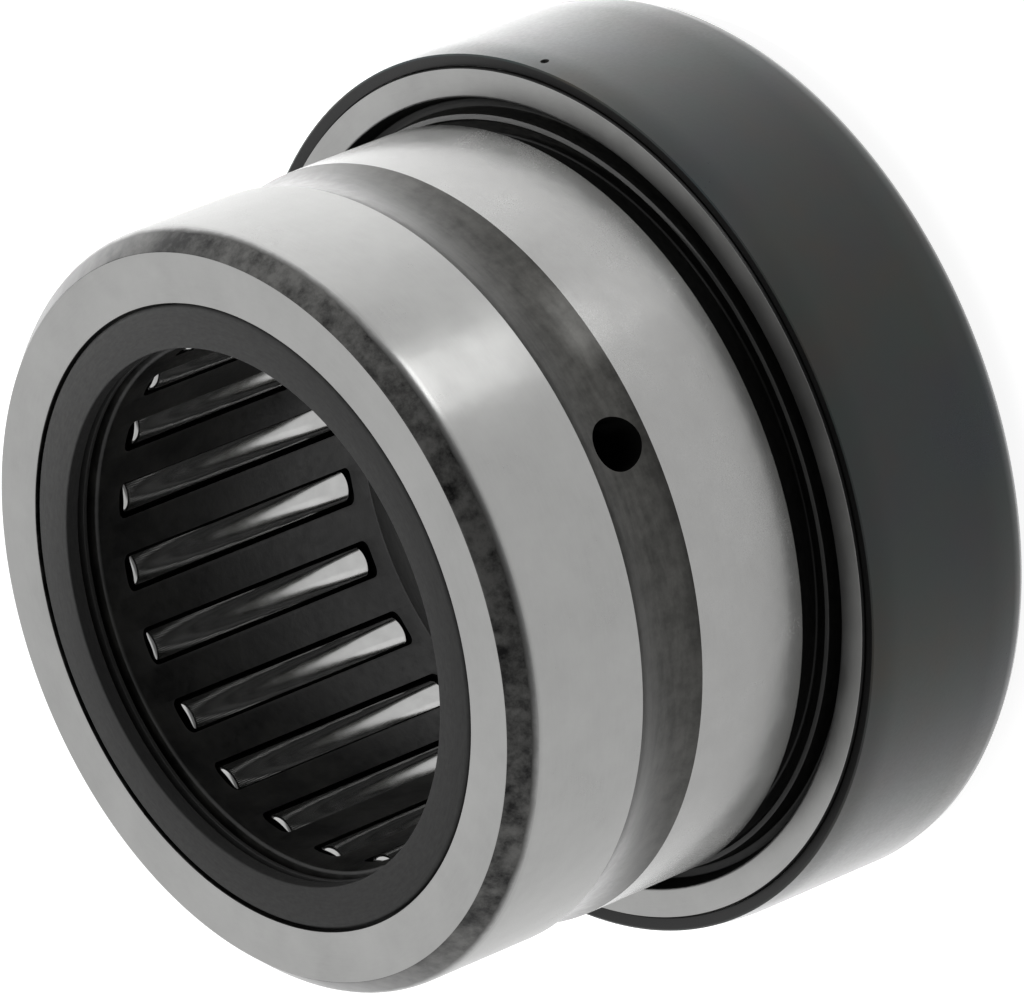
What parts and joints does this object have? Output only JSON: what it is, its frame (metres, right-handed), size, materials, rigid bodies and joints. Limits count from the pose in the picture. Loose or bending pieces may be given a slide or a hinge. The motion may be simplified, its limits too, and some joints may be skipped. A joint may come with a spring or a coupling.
{
  "type": "combined needle roller and axial roller bearing",
  "caption": "Combined needle roller and axial roller bearing with a flanged outer ring, needle cage, retaining ring and a sheet-steel end cap over its thrust rollers and shaft washer.",
  "frame": {"origin": "centre of the shaft washer's seating face, on the bearing's axis", "axes": "+Z along the bearing's axis from the thrust end to the needle end; -Y through the lubrication hole"},
  "size_m": [0.0432, 0.0432, 0.03],
  "materials": {
    "ground_steel": "fine ground steel",
    "ring_steel": "dark hardened steel",
    "blackened_steel": "blackened drawn sheet steel",
    "cage_steel": "dark oiled steel",
    "polished_steel": "superfinished rolling element",
    "washer_steel": "ground steel"
  },
  "bodies": {
    "housing_side": {"outer_ring": "ground_steel", "end_ring": "ring_steel", "end_cap": "blackened_steel"},
    "needle_cage": {"needle_cage": "cage_steel"},
    "shaft_washer": {"shaft_washer": "washer_steel"},
    "thrust_cage": {"thrust_cage": "cage_steel"},
    "needle_01": {"needle_01": "polished_steel"},
    "needle_02": {"needle_02": "polished_steel"},
    "needle_03": {"needle_03": "polished_steel"},
    "needle_04": {"needle_04": "polished_steel"},
    "needle_05": {"needle_05": "polished_steel"},
    "needle_06": {"needle_06": "polished_steel"},
    "needle_07": {"needle_07": "polished_steel"},
    "needle_08": {"needle_08": "polished_steel"},
    "needle_09": {"needle_09": "polished_steel"},
    "needle_10": {"needle_10": "polished_steel"},
    "needle_11": {"needle_11": "polished_steel"},
    "needle_12": {"needle_12": "polished_steel"},
    "needle_13": {"needle_13": "polished_steel"},
    "needle_14": {"needle_14": "polished_steel"},
    "needle_15": {"needle_15": "polished_steel"},
    "needle_16": {"needle_16": "polished_steel"},
    "needle_17": {"needle_17": "polished_steel"},
    "needle_18": {"needle_18": "polished_steel"},
    "needle_19": {"needle_19": "polished_steel"},
    "needle_20": {"needle_20": "polished_steel"},
    "needle_21": {"needle_21": "polished_steel"},
    "needle_22": {"needle_22": "polished_steel"},
    "thrust_roller_01": {"thrust_roller_01": "polished_steel"},
    "thrust_roller_02": {"thrust_roller_02": "polished_steel"},
    "thrust_roller_03": {"thrust_roller_03": "polished_steel"},
    "thrust_roller_04": {"thrust_roller_04": "polished_steel"},
    "thrust_roller_05": {"thrust_roller_05": "polished_steel"},
    "thrust_roller_06": {"thrust_roller_06": "polished_steel"},
    "thrust_roller_07": {"thrust_roller_07": "polished_steel"},
    "thrust_roller_08": {"thrust_roller_08": "polished_steel"},
    "thrust_roller_09": {"thrust_roller_09": "polished_steel"},
    "thrust_roller_10": {"thrust_roller_10": "polished_steel"},
    "thrust_roller_11": {"thrust_roller_11": "polished_steel"},
    "thrust_roller_12": {"thrust_roller_12": "polished_steel"},
    "thrust_roller_13": {"thrust_roller_13": "polished_steel"},
    "thrust_roller_14": {"thrust_roller_14": "polished_steel"}
  },
  "joints": [
    {"name": "needle_cage_spin", "type": "hinge", "parent": "housing_side", "child": "needle_cage", "pos_m": [0, 0, 0.01985], "axis": [0, 0, 1], "continuous": true},
    {"name": "shaft_washer_spin", "type": "hinge", "parent": "housing_side", "child": "shaft_washer", "pos_m": [0, 0, 0.0015], "axis": [0, 0, 1], "continuous": true},
    {"name": "thrust_cage_spin", "type": "hinge", "parent": "housing_side", "child": "thrust_cage", "pos_m": [0, 0, 0.0055], "axis": [0, 0, 1], "continuous": true},
    {"name": "needle_01_spin", "type": "hinge", "parent": "needle_cage", "child": "needle_01", "pos_m": [0.00144, 0.01367, 0.01985], "axis": [0, 0, 1], "continuous": true},
    {"name": "needle_02_spin", "type": "hinge", "parent": "needle_cage", "child": "needle_02", "pos_m": [-0.00247, 0.01353, 0.01985], "axis": [0, 0, 1], "continuous": true},
    {"name": "needle_03_spin", "type": "hinge", "parent": "needle_cage", "child": "needle_03", "pos_m": [-0.00618, 0.01228, 0.01985], "axis": [0, 0, 1], "continuous": true},
    {"name": "needle_04_spin", "type": "hinge", "parent": "needle_cage", "child": "needle_04", "pos_m": [-0.00939, 0.01004, 0.01985], "axis": [0, 0, 1], "continuous": true},
    {"name": "needle_05_spin", "type": "hinge", "parent": "needle_cage", "child": "needle_05", "pos_m": [-0.01184, 0.00699, 0.01985], "axis": [0, 0, 1], "continuous": true},
    {"name": "needle_06_spin", "type": "hinge", "parent": "needle_cage", "child": "needle_06", "pos_m": [-0.01333, 0.00337, 0.01985], "axis": [0, 0, 1], "continuous": true},
    {"name": "needle_07_spin", "type": "hinge", "parent": "needle_cage", "child": "needle_07", "pos_m": [-0.01374, -0.00052, 0.01985], "axis": [0, 0, 1], "continuous": true},
    {"name": "needle_08_spin", "type": "hinge", "parent": "needle_cage", "child": "needle_08", "pos_m": [-0.01304, -0.00437, 0.01985], "axis": [0, 0, 1], "continuous": true},
    {"name": "needle_09_spin", "type": "hinge", "parent": "needle_cage", "child": "needle_09", "pos_m": [-0.01128, -0.00787, 0.01985], "axis": [0, 0, 1], "continuous": true},
    {"name": "needle_10_spin", "type": "hinge", "parent": "needle_cage", "child": "needle_10", "pos_m": [-0.0086, -0.01073, 0.01985], "axis": [0, 0, 1], "continuous": true},
    {"name": "needle_11_spin", "type": "hinge", "parent": "needle_cage", "child": "needle_11", "pos_m": [-0.00523, -0.01272, 0.01985], "axis": [0, 0, 1], "continuous": true},
    {"name": "needle_12_spin", "type": "hinge", "parent": "needle_cage", "child": "needle_12", "pos_m": [-0.00144, -0.01367, 0.01985], "axis": [0, 0, 1], "continuous": true},
    {"name": "needle_13_spin", "type": "hinge", "parent": "needle_cage", "child": "needle_13", "pos_m": [0.00247, -0.01353, 0.01985], "axis": [0, 0, 1], "continuous": true},
    {"name": "needle_14_spin", "type": "hinge", "parent": "needle_cage", "child": "needle_14", "pos_m": [0.00618, -0.01228, 0.01985], "axis": [0, 0, 1], "continuous": true},
    {"name": "needle_15_spin", "type": "hinge", "parent": "needle_cage", "child": "needle_15", "pos_m": [0.00939, -0.01004, 0.01985], "axis": [0, 0, 1], "continuous": true},
    {"name": "needle_16_spin", "type": "hinge", "parent": "needle_cage", "child": "needle_16", "pos_m": [0.01184, -0.00699, 0.01985], "axis": [0, 0, 1], "continuous": true},
    {"name": "needle_17_spin", "type": "hinge", "parent": "needle_cage", "child": "needle_17", "pos_m": [0.01333, -0.00337, 0.01985], "axis": [0, 0, 1], "continuous": true},
    {"name": "needle_18_spin", "type": "hinge", "parent": "needle_cage", "child": "needle_18", "pos_m": [0.01374, 0.00052, 0.01985], "axis": [0, 0, 1], "continuous": true},
    {"name": "needle_19_spin", "type": "hinge", "parent": "needle_cage", "child": "needle_19", "pos_m": [0.01304, 0.00437, 0.01985], "axis": [0, 0, 1], "continuous": true},
    {"name": "needle_20_spin", "type": "hinge", "parent": "needle_cage", "child": "needle_20", "pos_m": [0.01128, 0.00787, 0.01985], "axis": [0, 0, 1], "continuous": true},
    {"name": "needle_21_spin", "type": "hinge", "parent": "needle_cage", "child": "needle_21", "pos_m": [0.0086, 0.01073, 0.01985], "axis": [0, 0, 1], "continuous": true},
    {"name": "needle_22_spin", "type": "hinge", "parent": "needle_cage", "child": "needle_22", "pos_m": [0.00523, 0.01272, 0.01985], "axis": [0, 0, 1], "continuous": true},
    {"name": "thrust_roller_01_spin", "type": "hinge", "parent": "thrust_cage", "child": "thrust_roller_01", "pos_m": [0.0169, 0, 0.0055], "axis": [1, 0, 0], "continuous": true},
    {"name": "thrust_roller_02_spin", "type": "hinge", "parent": "thrust_cage", "child": "thrust_roller_02", "pos_m": [0.01523, 0.00733, 0.0055], "axis": [0.901, 0.4339, 0], "continuous": true},
    {"name": "thrust_roller_03_spin", "type": "hinge", "parent": "thrust_cage", "child": "thrust_roller_03", "pos_m": [0.01054, 0.01321, 0.0055], "axis": [0.6235, 0.7818, 0], "continuous": true},
    {"name": "thrust_roller_04_spin", "type": "hinge", "parent": "thrust_cage", "child": "thrust_roller_04", "pos_m": [0.00376, 0.01648, 0.0055], "axis": [0.2225, 0.9749, 0], "continuous": true},
    {"name": "thrust_roller_05_spin", "type": "hinge", "parent": "thrust_cage", "child": "thrust_roller_05", "pos_m": [-0.00376, 0.01648, 0.0055], "axis": [-0.2225, 0.9749, 0], "continuous": true},
    {"name": "thrust_roller_06_spin", "type": "hinge", "parent": "thrust_cage", "child": "thrust_roller_06", "pos_m": [-0.01054, 0.01321, 0.0055], "axis": [-0.6235, 0.7818, 0], "continuous": true},
    {"name": "thrust_roller_07_spin", "type": "hinge", "parent": "thrust_cage", "child": "thrust_roller_07", "pos_m": [-0.01523, 0.00733, 0.0055], "axis": [-0.901, 0.4339, 0], "continuous": true},
    {"name": "thrust_roller_08_spin", "type": "hinge", "parent": "thrust_cage", "child": "thrust_roller_08", "pos_m": [-0.0169, 0, 0.0055], "axis": [-1, 0, 0], "continuous": true},
    {"name": "thrust_roller_09_spin", "type": "hinge", "parent": "thrust_cage", "child": "thrust_roller_09", "pos_m": [-0.01523, -0.00733, 0.0055], "axis": [-0.901, -0.4339, 0], "continuous": true},
    {"name": "thrust_roller_10_spin", "type": "hinge", "parent": "thrust_cage", "child": "thrust_roller_10", "pos_m": [-0.01054, -0.01321, 0.0055], "axis": [-0.6235, -0.7818, 0], "continuous": true},
    {"name": "thrust_roller_11_spin", "type": "hinge", "parent": "thrust_cage", "child": "thrust_roller_11", "pos_m": [-0.00376, -0.01648, 0.0055], "axis": [-0.2225, -0.9749, 0], "continuous": true},
    {"name": "thrust_roller_12_spin", "type": "hinge", "parent": "thrust_cage", "child": "thrust_roller_12", "pos_m": [0.00376, -0.01648, 0.0055], "axis": [0.2225, -0.9749, 0], "continuous": true},
    {"name": "thrust_roller_13_spin", "type": "hinge", "parent": "thrust_cage", "child": "thrust_roller_13", "pos_m": [0.01054, -0.01321, 0.0055], "axis": [0.6235, -0.7818, 0], "continuous": true},
    {"name": "thrust_roller_14_spin", "type": "hinge", "parent": "thrust_cage", "child": "thrust_roller_14", "pos_m": [0.01523, -0.00733, 0.0055], "axis": [0.901, -0.4339, 0], "continuous": true}
  ],
  "couplings": [
    {"joint": "thrust_cage_spin", "follows": "shaft_washer_spin", "ratio": 0.5},
    {"joint": "needle_01_spin", "follows": "needle_cage_spin", "ratio": -12},
    {"joint": "needle_02_spin", "follows": "needle_cage_spin", "ratio": -12},
    {"joint": "needle_03_spin", "follows": "needle_cage_spin", "ratio": -12},
    {"joint": "needle_04_spin", "follows": "needle_cage_spin", "ratio": -12},
    {"joint": "needle_05_spin", "follows": "needle_cage_spin", "ratio": -12},
    {"joint": "needle_06_spin", "follows": "needle_cage_spin", "ratio": -12},
    {"joint": "needle_07_spin", "follows": "needle_cage_spin", "ratio": -12},
    {"joint": "needle_08_spin", "follows": "needle_cage_spin", "ratio": -12},
    {"joint": "needle_09_spin", "follows": "needle_cage_spin", "ratio": -12},
    {"joint": "needle_10_spin", "follows": "needle_cage_spin", "ratio": -12},
    {"joint": "needle_11_spin", "follows": "needle_cage_spin", "ratio": -12},
    {"joint": "needle_12_spin", "follows": "needle_cage_spin", "ratio": -12},
    {"joint": "needle_13_spin", "follows": "needle_cage_spin", "ratio": -12},
    {"joint": "needle_14_spin", "follows": "needle_cage_spin", "ratio": -12},
    {"joint": "needle_15_spin", "follows": "needle_cage_spin", "ratio": -12},
    {"joint": "needle_16_spin", "follows": "needle_cage_spin", "ratio": -12},
    {"joint": "needle_17_spin", "follows": "needle_cage_spin", "ratio": -12},
    {"joint": "needle_18_spin", "follows": "needle_cage_spin", "ratio": -12},
    {"joint": "needle_19_spin", "follows": "needle_cage_spin", "ratio": -12},
    {"joint": "needle_20_spin", "follows": "needle_cage_spin", "ratio": -12},
    {"joint": "needle_21_spin", "follows": "needle_cage_spin", "ratio": -12},
    {"joint": "needle_22_spin", "follows": "needle_cage_spin", "ratio": -12},
    {"joint": "thrust_roller_01_spin", "follows": "shaft_washer_spin", "ratio": 3.38},
    {"joint": "thrust_roller_02_spin", "follows": "shaft_washer_spin", "ratio": 3.38},
    {"joint": "thrust_roller_03_spin", "follows": "shaft_washer_spin", "ratio": 3.38},
    {"joint": "thrust_roller_04_spin", "follows": "shaft_washer_spin", "ratio": 3.38},
    {"joint": "thrust_roller_05_spin", "follows": "shaft_washer_spin", "ratio": 3.38},
    {"joint": "thrust_roller_06_spin", "follows": "shaft_washer_spin", "ratio": 3.38},
    {"joint": "thrust_roller_07_spin", "follows": "shaft_washer_spin", "ratio": 3.38},
    {"joint": "thrust_roller_08_spin", "follows": "shaft_washer_spin", "ratio": 3.38},
    {"joint": "thrust_roller_09_spin", "follows": "shaft_washer_spin", "ratio": 3.38},
    {"joint": "thrust_roller_10_spin", "follows": "shaft_washer_spin", "ratio": 3.38},
    {"joint": "thrust_roller_11_spin", "follows": "shaft_washer_spin", "ratio": 3.38},
    {"joint": "thrust_roller_12_spin", "follows": "shaft_washer_spin", "ratio": 3.38},
    {"joint": "thrust_roller_13_spin", "follows": "shaft_washer_spin", "ratio": 3.38},
    {"joint": "thrust_roller_14_spin", "follows": "shaft_washer_spin", "ratio": 3.38}
  ]
}
